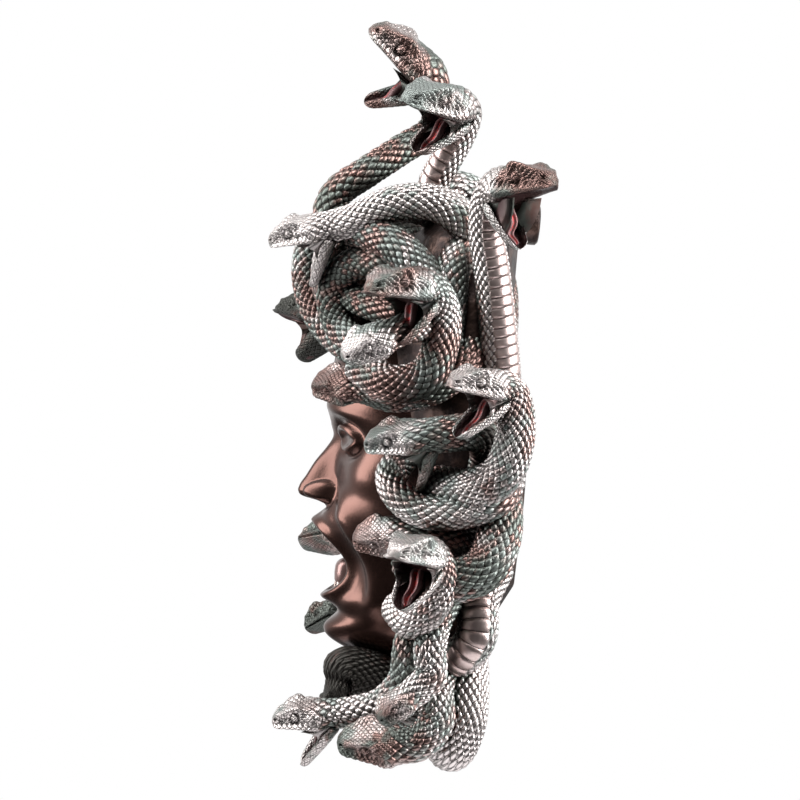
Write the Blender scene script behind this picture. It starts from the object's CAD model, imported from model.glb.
"""Looks of the gorgon wall mask: a bronze casting of a crying face among snakes, photographed from
its left side against white. Metres; +Z up, the wall is the plane Y = 0, the face looks to -Y."""

import math

import bpy
import numpy as np
from mathutils import Matrix


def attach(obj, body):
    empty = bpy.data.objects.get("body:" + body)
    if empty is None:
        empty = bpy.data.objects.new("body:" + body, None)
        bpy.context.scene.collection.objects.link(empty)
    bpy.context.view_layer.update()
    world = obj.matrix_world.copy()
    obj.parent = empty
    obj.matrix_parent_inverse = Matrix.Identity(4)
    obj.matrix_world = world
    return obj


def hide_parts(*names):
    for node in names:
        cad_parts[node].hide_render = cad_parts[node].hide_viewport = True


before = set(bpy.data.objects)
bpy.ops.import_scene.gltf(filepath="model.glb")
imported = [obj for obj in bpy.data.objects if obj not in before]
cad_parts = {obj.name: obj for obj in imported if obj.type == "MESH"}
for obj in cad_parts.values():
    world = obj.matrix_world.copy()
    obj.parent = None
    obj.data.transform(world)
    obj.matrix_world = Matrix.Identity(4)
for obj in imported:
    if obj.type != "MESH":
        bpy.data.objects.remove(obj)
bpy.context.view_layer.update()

MM = 0.001

# Fineness of the meshes, in millimetres between neighbouring vertices
NEAR_STEP = 0.66
FAR_STEP = 1.25
FACE_COLUMNS = 190
SEEN_FAR = ("throat", "nape", "far_brow", "far_cheek", "far_jaw")

NO_BELLY = 95  # degrees, for a snake that shows no belly plates

# Snakes on the left of the face, which is +X, in millimetres. Each row holds the route from its
# root to the base of its head, the radius at the root and at the neck, and the way its back faces
# at the end of the route. A snake with a head adds the tip of its snout and the gape in degrees;
# one with an open mouth, the length of its lower jaw as a share of the head. Where they differ from
# the others: how brightly its body and its head are worn, the width of its scales, how far the skin
# of its mouth reaches, degrees below its side where the belly plates begin, and how bulky its head
# is.
NEAR = {
    "crest": dict(
        route=[[6, -74, -20], [10, -92, -2], [12, -90, 11], [14, -77, 22], [12, -63, 33],
            [10, -50, 44], [14, -50, 61]], r=[7.2, 6], worn=(0.65, 0.85), up=[0.35, 0.55, 0.75],
        scale=3.9, bulk=1.12, tip=[26, -81, 82], gape=56, jaw=0.68,
    ),
    "crown": dict(
        route=[[26, -46, 6], [32, -48, 16], [38, -43, 28], [42, -38, 39], [48, -37, 47]],
        r=[6.6, 6.2], worn=(1.1, 0.95), up=[0.35, 0.1, 0.93], belly=48, bulk=1.08,
        tip=[74, -63, 45], gape=41, web=0.32, jaw=0.68,
    ),
    "brow": dict(
        route=[[34, -42, -28], [46, -32, -16], [54, -33, -2], [60, -46, 6], [60, -63, 5],
            [56, -80, -3], [52, -89, -6]], r=[8.6, 6.4], worn=(1.4, 1.6), up=[0.35, -0.1, 0.93],
        tip=[46, -115, -15], gape=56, jaw=0.86,
    ),
    "temple": dict(
        route=[[52, -36, -47], [62, -42, -34], [64, -51, -22], [62, -63, -12], [50, -77, -7],
            [40, -76, -10]], r=[8, 7], worn=(0.9, 0.9), up=[0.7, 0, 0.7],
    ),
    "bang_outer": dict(
        route=[[24, -82, -4], [14, -96, -6], [10, -100, -19], [10, -97, -35], [18, -88, -48],
            [30, -77, -56]], r=[6.6, 6.8], up=[0.3, -0.9, 0],
    ),
    "bang_inner": dict(
        route=[[56, -49, -30], [56, -64, -20], [46, -79, -21], [38, -87, -32], [38, -84, -45],
            [46, -75, -54]], r=[7.2, 6.4], worn=(0.8, 0.8), up=[0.5, -0.8, 0],
    ),
    "bang_core": dict(
        route=[[54, -54, -43], [50, -67, -38], [38, -80, -34]], r=[6.6, 6.2], worn=(0.7, 0.7),
        up=[0.7, -0.3, 0.6],
    ),
    "screamer": dict(
        route=[[58, -73, -62], [70, -60, -70], [76, -45, -65], [78, -40, -50], [80, -41, -38],
            [86, -46, -31]], r=[8.2, 6.8], worn=(1, 0.85), up=[0.1, 0, 1], belly=NO_BELLY,
        bulk=1.08, tip=[110, -71, -35], gape=51, web=0.28, jaw=0.66,
    ),
    "leaf": dict(
        route=[[56, -35, -54], [70, -41, -45], [82, -51, -46], [90, -58, -49]], r=[7.2, 6],
        worn=(1, 1.2), up=[0.55, -0.3, 0.75], tip=[96, -79, -62], gape=5,
    ),
    "fringe": dict(
        route=[[50, -25, -46], [62, -30, -59], [64, -43, -70], [60, -58, -74], [56, -69, -72]],
        r=[7.8, 7], worn=(0.8, 0.8), up=[0.75, 0, 0.65], tip=[44, -92, -73], gape=8,
    ),
    "ear": dict(
        route=[[42, -26, -10], [54, -34, -13], [62, -38, -23], [64, -38, -36], [60, -38, -48],
            [48, -35, -58]], r=[7.4, 7.4], up=[1, 0, 0],
    ),
    "sentinel": dict(
        route=[[44, -13, -81], [58, -14, -62], [66, -18, -40], [72, -22, -20], [78, -26, -3],
            [86, -25, 9]], r=[8.2, 6.6], worn=(1.9, 0.62), up=[0.15, 0, 1], belly=45, bulk=1.22,
        tip=[110, -1.5, 12], gape=63, web=0.46, jaw=0.66,
    ),
    "coil": dict(
        route=[[68, -37, -111], [82, -24, -110], [90, -13, -103], [94, -9, -92], [96, -9, -78],
            [98, -13, -69]], r=[9.5, 7], worn=(1.1, 1.1), up=[0.2, 0, 1], belly=NO_BELLY,
        tip=[114, -37, -69], gape=44, web=0.36, jaw=0.86,
    ),
    "jaw": dict(
        route=[[48, -22, -108], [68, -17, -96], [80, -23, -87], [86, -40, -89]], r=[7.6, 7.2],
        worn=(0.9, 0.95), up=[0.45, 0, 0.9], tip=[80, -68, -96], gape=66, jaw=0.78,
    ),
    "cheek": dict(
        route=[[54, -52, -100], [64, -56, -107], [72, -53, -114], [78, -43, -120], [82, -27, -119],
            [82, -13, -113], [72, -9, -106], [55, -9, -98]], r=[6.4, 7.2], up=[0.8, 0, -0.6],
        belly=NO_BELLY,
    ),
    "whisker": dict(
        route=[[60, -19, -136], [66, -32, -132], [68, -45, -131]], r=[8, 7], worn=(0.75, 0.75),
        up=[0.75, 0, 0.65], tip=[62, -70, -135], gape=4,
    ),
    "herald": dict(
        route=[[60, -49, -161], [74, -43, -165], [82, -36, -158], [86, -33, -146],
            [92, -37, -137]], r=[7.6, 6.6], worn=(1.1, 1.1), up=[0.2, 0, 1], belly=NO_BELLY,
        tip=[122, -53, -136], gape=46, web=0.34, jaw=0.72,
    ),
    "great": dict(
        route=[[56, -13, -100], [70, -11, -115], [78, -11, -129], [82, -16, -141], [80, -27, -147],
            [72, -38, -147], [56, -45, -142]], r=[9, 9], worn=(0.85, 0.85), up=[0.8, 0.3, -0.4],
    ),
    "drop": dict(
        route=[[58, -26, -153], [70, -33, -163], [76, -35, -176], [78, -34, -186],
            [80, -40, -193]], r=[7, 6.2], worn=(1, 0.9), up=[0.4, -0.6, 0.7], tip=[84, -53, -206],
        gape=5,
    ),
    "strand": dict(
        route=[[48, -40, -161], [56, -44, -177], [58, -45, -191], [54, -53, -202], [50, -64, -207],
            [48, -71, -209]], r=[5.6, 6.2], worn=(1, 1.15), up=[0.3, 0, 0.95], tip=[46, -98, -215],
        gape=49, jaw=0.88,
    ),
    "rear_curl": dict(
        route=[[48, -10, -142], [60, -16, -156], [64, -16, -170], [60, -20, -178],
            [42, -27, -183]], r=[8.5, 8], worn=(1.25, 1.25), up=[-0.9, -0.1, 0], belly=45,
    ),
    "rear_drop": dict(
        route=[[26, -20, -174], [44, -18, -190], [50, -18, -208], [46, -22, -220],
            [32, -26, -214]], r=[9.2, 9.6], worn=(2.1, 2.1), up=[0.8, -0.2, -0.5],
    ),
    "beard": dict(
        route=[[44, -28, -180], [58, -31, -194], [62, -30, -207], [64, -37, -216]], r=[7.6, 7.4],
        worn=(1, 0.7), up=[0.7, 0, 0.7], tip=[60, -70, -219], gape=5,
    ),
}
# Snakes on the centre line and those that only the right side has.
REST = {
    "throat": dict(
        route=[[10, -28, -203], [14, -46, -202], [17, -60, -197], [19, -70, -196]], r=[14, 11],
        worn=(0.12, 0.12), up=[0.2, -1, 0.2], tip=[22, -73, -216], gape=38, jaw=0.7,
    ),
    "nape": dict(
        route=[[6, -49, 6], [4, -39, 18], [-4, -27, 15], [-14, -20, 1]], r=[8, 8], up=[0, 0, 1],
    ),
    "forelock": dict(
        route=[[-6, -26, 12], [-14, -44, 16], [-20, -64, 11], [-14, -82, 2], [-3, -91, -8]],
        r=[7, 6.6], up=[0, -1, 0.2], tip=[-5, -101, -35], gape=4,
    ),
    "parting": dict(
        route=[[16, -44, 6], [28, -62, 7], [34, -78, 0], [30, -89, -14], [24, -90, -30],
            [30, -80, -44]], r=[7, 6.4], up=[0.4, -0.9, 0],
    ),
    "side_lock": dict(
        route=[[-36, -46, -4], [-38, -68, 3], [-30, -84, -6], [-26, -91, -22], [-22, -89, -40],
            [-32, -78, -54]], r=[7.2, 6.6], up=[-0.4, -0.9, 0],
    ),
    "lookout": dict(
        route=[[-18, -30, 6], [-34, -34, 17], [-50, -38, 16], [-64, -42, 8]], r=[7.6, 6.4],
        up=[0, 0, 1], tip=[-92, -54, 4], gape=42, jaw=0.74,
    ),
    "guard": dict(
        route=[[-44, -12, -81], [-60, -10, -62], [-70, -9, -40], [-76, -10, -20], [-80, -14, -6],
            [-88, -20, 4]], r=[8, 6.6], up=[-0.1, 0, 1], tip=[-116, -30, 8], gape=50, jaw=0.74,
    ),
    "far_brow": dict(
        route=[[-26, -62, -50], [-52, -80, -44], [-60, -87, -43]], r=[7.4, 6.8], worn=(0.2, 0.2),
        up=[-0.3, 0, 0.95], tip=[-82, -118, -38], gape=57, jaw=0.52,
    ),
    "far_cheek": dict(
        route=[[-44, -44, -146], [-58, -66, -144], [-64, -74, -143]], r=[7, 6.6], worn=(0.8, 0.8),
        up=[-0.7, 0, 0.7], tip=[-72, -98, -147], gape=4,
    ),
    "far_jaw": dict(
        route=[[-42, -44, -162], [-56, -64, -171], [-60, -71, -175]], r=[7, 6.8], worn=(0.4, 0.4),
        up=[-0.4, 0, 0.9], tip=[-64, -91, -188], gape=8,
    ),
}
# The right side repeats these left-hand snakes in mirror image, each one shifted a little.
MIRRORED = {
    "brow": [-4, 12, 5],
    "temple": [-2, 0, 3],
    "bang_outer": [-3, 5, -3],
    "bang_inner": [0, 1, -3],
    "screamer": [4, 2, -6],
    "leaf": [0, 0, 4],
    "fringe": [-2, 6, 2],
    "coil": [2, -1, 5],
    "jaw": [3, 0, -5],
    "cheek": [0, 0, -3],
    "great": [0, 0, -4],
    "herald": [4, 2, -9],
    "drop": [2, 0, 3],
    "rear_curl": [0, 0, 0],
    "rear_drop": [0, 0, 3],
    "beard": [2, 8, -4],
}


# Curves
def readings(table, at, smooth=False):
    """Values of a table of (position, value) rows at an array of positions. Between rows the value
    runs straight, or, where smooth is asked for, along the cubic whose end slopes are the slopes
    of the parabolas through neighbouring rows."""
    table = sorted(table)
    x = np.array([row[0] for row in table], float)
    y = np.array([row[1] for row in table], float)
    if not smooth:
        return np.interp(at, x, y)
    slope = np.gradient(y, x)
    at = np.clip(at, x[0], x[-1])
    i = np.clip(np.searchsorted(x, at) - 1, 0, len(x) - 2)
    gap = x[i + 1] - x[i]
    k = (at - x[i]) / gap
    rise = k * k * (3 - 2 * k)
    bend = slope[i] * k * (1 - k) ** 2 - slope[i + 1] * k * k * (1 - k)
    return y[i] + (y[i + 1] - y[i]) * rise + gap * bend


def bump(x, centre, width):
    """A bell of height 1: e to the minus square of the distance from the centre over the width."""
    return np.exp(-(((x - centre) / width) ** 2))


def step(x, low, high):
    """0 below low, 1 above high, and the smooth cubic 3k^2 - 2k^3 between."""
    k = np.clip((x - low) / (high - low), 0, 1)
    return k * k * (3 - 2 * k)


def rounded_end(k, start):
    """1 up to start, then the quarter ellipse that falls to 0 at 1."""
    return np.sqrt(1 - np.clip((k - start) / (1 - start), 0, 1) ** 2)


def unit(v):
    """Vectors divided by their lengths."""
    return v / np.maximum(np.linalg.norm(v, axis=-1, keepdims=True), 1e-9)


def smooth_route(points, per_span=40):
    """Centripetal Catmull-Rom curve through the points: each span is the cubic whose end slopes
    follow from the neighbouring points, spaced by the square root of their distances."""
    p = np.array(points, float)
    p = np.vstack([2 * p[0] - p[1], p, 2 * p[-1] - p[-2]])
    gap = np.sqrt(np.linalg.norm(np.diff(p, axis=0), axis=1))
    out = []
    for i in range(1, len(p) - 2):
        d0, d1, d2 = gap[i - 1 : i + 2]
        m1 = ((p[i] - p[i - 1]) / d0 - (p[i + 1] - p[i - 1]) / (d0 + d1)) * d1 + p[i + 1] - p[i]
        m2 = ((p[i + 2] - p[i + 1]) / d2 - (p[i + 2] - p[i]) / (d1 + d2)) * d1 + p[i + 1] - p[i]
        t = np.linspace(0, 1, per_span, endpoint=False)[:, None]
        h = 2 * t**3 - 3 * t**2
        out.append(
            p[i] * (h + 1) + p[i + 1] * -h + m1 * (t**3 - 2 * t**2 + t) + m2 * (t**3 - t**2)
        )
    return np.vstack(out + [p[-2:-1]])


def even_frames(route, spacing, up):
    """Points at even steps along a route, with the direction, the side and the back at each. The
    back is carried from the route's far end, where it is given, without any twist."""
    far = np.concatenate([[0], np.cumsum(np.linalg.norm(np.diff(route, axis=0), axis=1))])
    count = max(8, int(round(far[-1] / spacing)))
    s = np.linspace(0, far[-1], count + 1)
    at = np.stack([np.interp(s, far, route[:, k]) for k in range(3)], axis=1)
    along = unit(np.gradient(at, s, axis=0))
    back = np.empty_like(at)
    b = np.array(up, float)
    for i in range(count, -1, -1):
        b = b - along[i] * (b @ along[i])
        b = b / np.linalg.norm(b)
        back[i] = b
    return s, at, along, np.cross(along, back), back


# Meshes
class Surface:
    """Grids gathered into one mesh, with a UV map and named values on the vertices."""

    VALUES = ("belly", "lining", "head", "shade", "open")

    def __init__(self):
        self.points, self.quads, self.thirds, self.uv, self.values = [], [], [], [], []
        self.count = 0

    def grid(self, p, uv, **values):
        """Adds a closed grid of points, rows by columns, whose columns join round, so that it
        needs one more column of UVs than of points. A first or last row that has shrunk to one
        point becomes a pole: one vertex, with triangles round it. The faces are turned outwards
        by the sign of the volume that they enclose."""
        rows, columns = p.shape[:2]
        index = np.arange(rows * columns).reshape(rows, columns)
        pole = [np.ptp(p[row], axis=0).max() < 1e-6 for row in (0, -1)]
        for row, shrunk in zip((0, -1), pole):
            if shrunk:
                index[row] = index[row, 0]
        used, place = np.unique(index, return_inverse=True)
        index = place.reshape(rows, columns) + self.count
        i, j = np.meshgrid(np.arange(rows - 1), np.arange(columns), indexing="ij")
        k = (j + 1) % columns
        quads = np.stack([index[i, j], index[i, k], index[i + 1, k], index[i + 1, j]], -1)
        corners = np.stack([uv[i, j], uv[i, j + 1], uv[i + 1, j + 1], uv[i + 1, j]], -2)
        first, last = int(pole[0]), rows - 1 - int(pole[1])
        whole = [(quads[first:last], corners[first:last])]
        if pole[0]:
            whole.append((quads[:1][..., [0, 2, 3]], corners[:1][..., [0, 2, 3], :]))
        if pole[1]:
            whole.append((quads[-1:][..., [0, 1, 2]], corners[-1:][..., [0, 1, 2], :]))
        points = p.reshape(-1, 3)[used]
        volume = 0
        for faces, _ in whole:
            q = points[faces.reshape(-1, faces.shape[-1]) - self.count] - points.mean(0)
            for k in range(1, q.shape[1] - 1):
                volume += np.einsum("ij,ij", q[:, 0], np.cross(q[:, k], q[:, k + 1]))
        for faces, place in whole:
            if volume < 0:
                faces, place = faces[..., ::-1], place[..., ::-1, :]
            width = faces.shape[-1]
            found = (faces.reshape(-1, width), place.reshape(-1, 2))
            (self.quads if width == 4 else self.thirds).append(found)
        self.points.append(points)
        shape = (rows, columns)
        names = self.VALUES[:-1]
        one = [np.broadcast_to(values.get(n, 0.0), shape).reshape(-1)[used] for n in names]
        self.values.append(np.stack(one, 1))
        self.count += len(used)

    def piece(self, name, material, worn=(1, 1)):
        """The finished mesh as an object that rides on the casting. Worn says how brightly its
        body and its head are rubbed: it multiplies how open they lie."""
        points = np.vstack(self.points) * MM
        points[:, 1] = np.minimum(points[:, 1], 0)  # flat where it meets the wall
        quads = np.vstack([faces for faces, _ in self.quads])
        thirds = np.vstack([faces for faces, _ in self.thirds] or [np.empty((0, 3), int)])
        uv = np.vstack([place for _, place in self.quads + self.thirds])
        loops = np.concatenate([quads.ravel(), thirds.ravel()])
        starts = np.concatenate(
            [np.arange(len(quads)) * 4, quads.size + np.arange(len(thirds)) * 3]
        )
        mesh = bpy.data.meshes.new(name)
        mesh.vertices.add(len(points))
        mesh.vertices.foreach_set("co", points.astype(np.float32).ravel())
        mesh.loops.add(len(loops))
        mesh.loops.foreach_set("vertex_index", loops.astype(np.int32))
        mesh.polygons.add(len(starts))
        mesh.polygons.foreach_set("loop_start", starts.astype(np.int32))
        mesh.uv_layers.new(name="UVMap")
        mesh.update(calc_edges=True)
        mesh.uv_layers[0].data.foreach_set("uv", uv.astype(np.float32).ravel())
        normals = np.empty(points.size, np.float32)
        mesh.vertex_normals.foreach_get("vector", normals)
        values = np.vstack(self.values)
        on_head = np.minimum(values[:, self.VALUES.index("head")], 1)
        rubbed = worn[0] + (worn[1] - worn[0]) * on_head
        clear = rubbed * openness(points / MM, normals.reshape(-1, 3))
        values = np.column_stack([values, clear]).astype(np.float32)
        for k, value in enumerate(self.VALUES):
            layer = mesh.attributes.new(value, "FLOAT", "POINT")
            layer.data.foreach_set("value", np.ascontiguousarray(values[:, k]))
        mesh.polygons.foreach_set("use_smooth", np.ones(len(starts), bool))
        mesh.materials.append(material)
        obj = bpy.data.objects.new(name, mesh)
        bpy.context.collection.objects.link(obj)
        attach(obj, "root")
        return obj


PROBES = (3, 8, 16)  # millimetres out from the surface
SWELL = 2.5  # millimetres that the bodies are swollen for this
SHADING = 1.6  # how fast a point grows dark as it is hidden
BALL_STEP = 4  # millimetres between the balls along a snake
HEAD_SLIMMER = 0.35  # of the neck's radius, taken off the balls of the head
AT_ONCE = 20000  # points probed together


def openness(p, n):
    """1 where nothing stands before the surface, near 0 deep between the snakes. Each point is
    probed a little way out along its normal; every ball of the snakes hides it by 1 less the square
    of the distance from the ball's middle over its swollen radius. The sum runs over the balls, and
    the openness is e to the minus of it, times SHADING."""
    hidden = np.zeros(len(p))
    reach = BALLS[:, 3].max() + SWELL
    for out in PROBES:
        q = p + out * n
        near = np.all((BALLS[:, :3] > q.min(0) - reach) & (BALLS[:, :3] < q.max(0) + reach), axis=1)
        c, size = BALLS[near, :3], BALLS[near, 3] + SWELL
        for some in np.array_split(np.arange(len(q)), len(q) // AT_ONCE + 1):
            far = (q[some] ** 2).sum(1)[:, None] + (c**2).sum(1) - 2 * q[some] @ c.T
            hidden[some] += np.maximum(0, 1 - far / size**2).sum(1) / len(PROBES)
    return np.exp(-SHADING * hidden)


def balls(s):
    """The middles and radii of the balls that stand for a snake's body and head, at even steps
    along its route."""
    points = list(s["route"])
    head = 0
    if "tip" in s:
        head = float(np.linalg.norm(np.subtract(s["tip"], points[-1])))
        points.append(s["tip"])
    route = smooth_route(points, 12)
    far = np.concatenate([[0], np.cumsum(np.linalg.norm(np.diff(route, axis=0), axis=1))])
    at = np.arange(BALL_STEP / 2, far[-1], BALL_STEP)
    r0, r1 = s["r"]
    body = far[-1] - head
    radius = r0 + (r1 - r0) * np.clip(at / body, 0, 1) - r1 * HEAD_SLIMMER * (at > body)
    return np.column_stack([*(np.interp(at, far, route[:, k]) for k in range(3)), radius])


# Snakes
BELLY_EDGE = 72  # degrees below the side where the wide belly plates begin
SCALE_WIDTH = 3.4  # across one scale, in millimetres
SCALE_STRETCH = 1.25  # length of a scale over its width
SCALE_TILT = 0.5  # how much the free end of a scale stands up
SCALE_SQUARENESS = 2.8  # power of the outline of a scale: 2 is round, more is squarer
SCALE_DOME = 4.5  # power of the fall from the middle of a scale to its edge
PLATE_TILT = 0.5
HEAD_FINENESS = 2  # scales of the body to one of the head, each way
SCALE_RELIEF = 0.7  # depth of the grooves between scales, in millimetres
OPEN_GAPE = 12  # degrees; a smaller gape is a closed mouth
MIDDLING_HEAD = 30  # millimetres

# Skull sections by share of the head's length, as shares of its girth: half-width, height above
# its line, and the depth below it of an open mouth's palate and of a closed mouth's chin. Before
# the first row they run on from the neck.
SKULL_WIDE = [
    (0.14, 0.24), (0.28, 0.29), (0.44, 0.295), (0.62, 0.25), (0.76, 0.205), (0.88, 0.175),
    (1, 0.15),
]
SKULL_HIGH = [
    (0.14, 0.235), (0.28, 0.25), (0.44, 0.255), (0.6, 0.25), (0.72, 0.21), (0.85, 0.175),
    (1, 0.15),
]
PALATE = [(0.12, 0.2), (0.25, 0.2), (0.4, 0.165), (0.6, 0.12), (0.8, 0.09), (1, 0.075)]
CLOSED_CHIN = [(0.16, 0.2), (0.3, 0.2), (0.5, 0.175), (0.7, 0.14), (0.88, 0.11), (1, 0.09)]
SNOUT_START = 0.86  # share of the head's length where the snout begins to round off
SKULL_BOXINESS = 0.24  # how much squarer than round the skull's sections are
PALATE_ARCH = (0.7, 0.62)  # depth of the arch in an open mouth's palate, and its width
JAW_RADIUS = 0.22  # of the girth, for the number of columns round the jaw
JAW_TIP_START = 0.84  # share of the jaw's length where its tip begins to round off
JAW_RIM = 0.055  # height of the jaw's rim, of the girth
JAW_INSIDE = 0.86  # width inside the jaw, of the width outside
JAW_SCALES = 16  # scales round the jaw
# Lower jaw sections, as shares of the girth, by share of the jaw's own length
JAW_WIDE = [(0, 0.24), (0.2, 0.265), (0.45, 0.25), (0.7, 0.205), (0.88, 0.165), (1, 0.14)]
JAW_DEEP = [(0, 0.16), (0.3, 0.14), (0.6, 0.11), (0.85, 0.085), (1, 0.075)]
JAW_SCOOP = [(0, 0.05), (0.2, 0.085), (0.6, 0.075), (0.9, 0.05), (1, 0.04)]
HINGE = (0.1, -0.1)
WEB = 0.25  # reach of the skin of an open mouth, half-way down the gape, of the head's length
WEB_ROOT = 0.48  # its reach along the skull and along the jaw
WEB_GRID = (26, 14)  # rows down the gape, and columns of half its front
WEB_WIDTH = (0.96, 0.82)  # of the skull's and the jaw's: in front, and behind of that
THROAT = 0.1  # how far in front of the hinge and behind it the skin closes the throat
TONGUE_COLUMNS = 24
TONGUE_WIDTH = 0.1  # half-width of the tongue, of the girth
TONGUE_CLEFT = (0.62, 0.3)  # its depth, of the half-width, and its share of the width
TONGUE_WAVE = (0.02, 11)  # how far it winds, of the girth, and how many radians from end to end
# Where its middle line starts: the share of the gape that it has turned, and of the head's length
# that it has come from the hinge
TONGUE_ROUTE = [(0.1, 0.17), (0.5, 0.2), (0.86, 0.32)]
TONGUE_LOW = -0.05  # how far under the jaw's line the tongue lies, of the girth
EYE = (0.62, 24)  # share of the head's length, degrees above its side
EYE_RADIUS = 0.05  # of the girth along the head
EYE_TURN = 13  # degrees round it
FULL_WEAR = 0.13  # relief of a head, as a share of its girth, between its darkest and brightest
# Bells on the skull: height as a share of the girth, place and width along the head as shares of
# its length, and place and width round it in degrees above its side
SKULL_BELLS = {
    "brow ridge": (0.1, EYE[0] - 0.03, 0.16, EYE[1] + 29, 13),
    "nostril": (-0.08, 0.925, 0.022, 36, 14),
    "cheek muscle": (0.05, 0.3, 0.14, 6, 26),
    "crease behind the brow": (-0.03, 0.46, 0.04, 40, 40),
}
# Ridges along it: height, where they rise from and to, where they fall from and to, and their
# place and width round it
SKULL_RIDGES = {
    "ridge to the snout": (0.035, EYE[0], EYE[0] + 0.1, 0.88, 0.96, 52, 13),
    "hollow before the eye": (-0.04, EYE[0] + 0.08, EYE[0] + 0.14, 0.84, 0.9, 22, 12),
}
# Ridges that run to the snout's tip: height, where they rise from and to, place and width round it
LIP_RIDGES = {
    "lip": (0.035, 0.2, 0.3, -12, 10),
    "groove above the lip": (-0.025, 0.2, 0.3, 6, 5),
}
CLOSED_LIP_RIDGES = {
    "line of the closed mouth": (-0.06, 0.26, 0.36, -26, 5),
    "lower lip": (0.025, 0.26, 0.36, -38, 8),
}
LIP_PLATE = 0.085  # length of the plates along the lip, of the head's length


def scale_relief(u, v, belly):
    """Height from 0 in the grooves to 1 on the scales. Across the back, rounded lozenges: 1 less
    the distance from the middle of the cell to the power SCALE_DOME, where that distance is
    measured along the two lattice directions with the power SCALE_SQUARENESS, tilted so that one
    end stands up. On the belly, plates: 1 less the sixth power of the distance from the middle of
    the plate, tilted likewise."""
    a, b = (u + v) % 1, (u - v) % 1
    n = SCALE_SQUARENESS
    off = (np.abs(2 * a - 1) ** n + np.abs(2 * b - 1) ** n) ** (1 / n)
    lozenge = np.maximum(0, 1 - off**SCALE_DOME) * (1 - SCALE_TILT * (a - b))
    plate = (1 - (2 * np.abs(v % 1 - 0.5)) ** 6) * (1 - PLATE_TILT * (v % 1 - 0.5))
    return lozenge + (plate - lozenge) * belly


def round_section(columns):
    """Angles round a section, in degrees from the left side towards the back, with one more than
    the points, and the same angles folded so that both sides read -90 at the belly to 90."""
    turn = np.linspace(0, 360, columns + 1)
    fold = np.degrees(np.arctan2(np.sin(np.radians(turn)), np.abs(np.cos(np.radians(turn)))))
    return turn, fold


def head_detail(h, f, head, girth, closed):
    """What stands out of a skull, as a share of its girth, at the share h of its length and f
    degrees above its side. The eye is half an ellipsoid in a ring-shaped groove. A bell is one
    along the head times one round it; a ridge, an eased step along it times a bell round it; the
    plates of the lip, bells that repeat along it."""
    eye = np.hypot((h - EYE[0]) * head / (EYE_RADIUS * girth), (f - EYE[1]) / EYE_TURN)
    out = 0.024 * np.sqrt(np.maximum(0, 1 - eye**2)) - 0.045 * bump(eye, 1.3, 0.35)
    for height, place, width, turn, spread in SKULL_BELLS.values():
        out += height * bump(h, place, width) * bump(f, turn, spread)
    for height, low, high, end, gone, turn, spread in SKULL_RIDGES.values():
        out += height * step(h, low, high) * (1 - step(h, end, gone)) * bump(f, turn, spread)
    lips = {**LIP_RIDGES, **(CLOSED_LIP_RIDGES if closed else {})}
    for height, low, high, turn, spread in lips.values():
        out += height * step(h, low, high) * bump(f, turn, spread)
    plates = bump((h / LIP_PLATE) % 1, 0.5, 0.13) * bump(f, -10, 11)
    return out - 0.02 * step(h, 0.2, 0.3) * plates


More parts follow.
